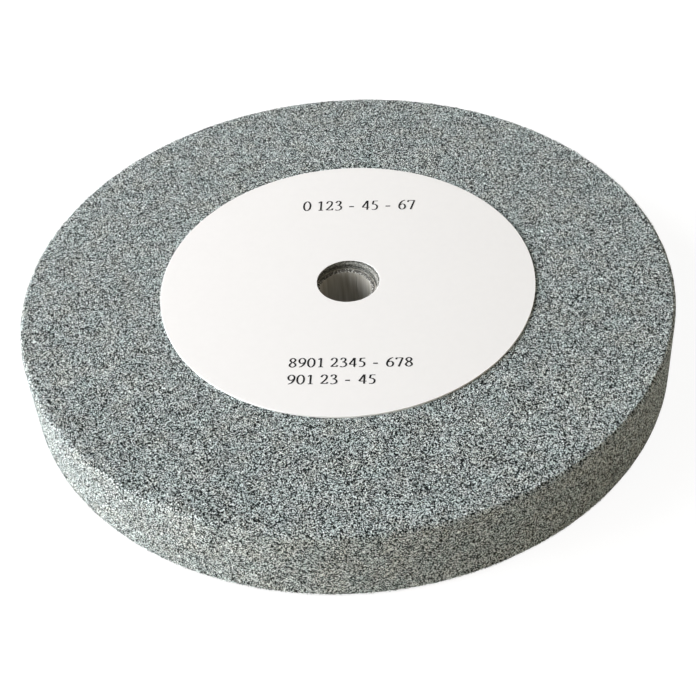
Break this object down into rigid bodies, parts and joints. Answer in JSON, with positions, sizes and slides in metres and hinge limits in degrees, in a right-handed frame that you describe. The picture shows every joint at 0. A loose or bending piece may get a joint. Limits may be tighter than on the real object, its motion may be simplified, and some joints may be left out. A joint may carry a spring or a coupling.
{
  "type": "bench grinding wheel",
  "caption": "Straight abrasive wheel for a bench grinder, with a cast-in bush for the spindle and a paper blotter on each side face.",
  "frame": {"origin": "middle of the wheel, on the spindle axis halfway between the two blotters", "axes": "+Z along the spindle axis, out of the printed side face; the print reads along +X; the wheel lies flat on its rear blotter"},
  "size_m": [0.2, 0.2, 0.0262],
  "materials": {
    "abrasive": "grey-green vitrified abrasive, open grain of about half a millimetre",
    "bush": "dull brown-grey cast bush with fine streaks along the bore",
    "printed_paper": "smooth white blotter paper with black size marks",
    "plain_paper": "plain white blotter paper"
  },
  "bodies": {
    "root": {"abrasive_wheel": "abrasive", "arbor_bush": "bush", "front_blotter": "printed_paper", "rear_blotter": "plain_paper"}
  },
  "joints": []
}
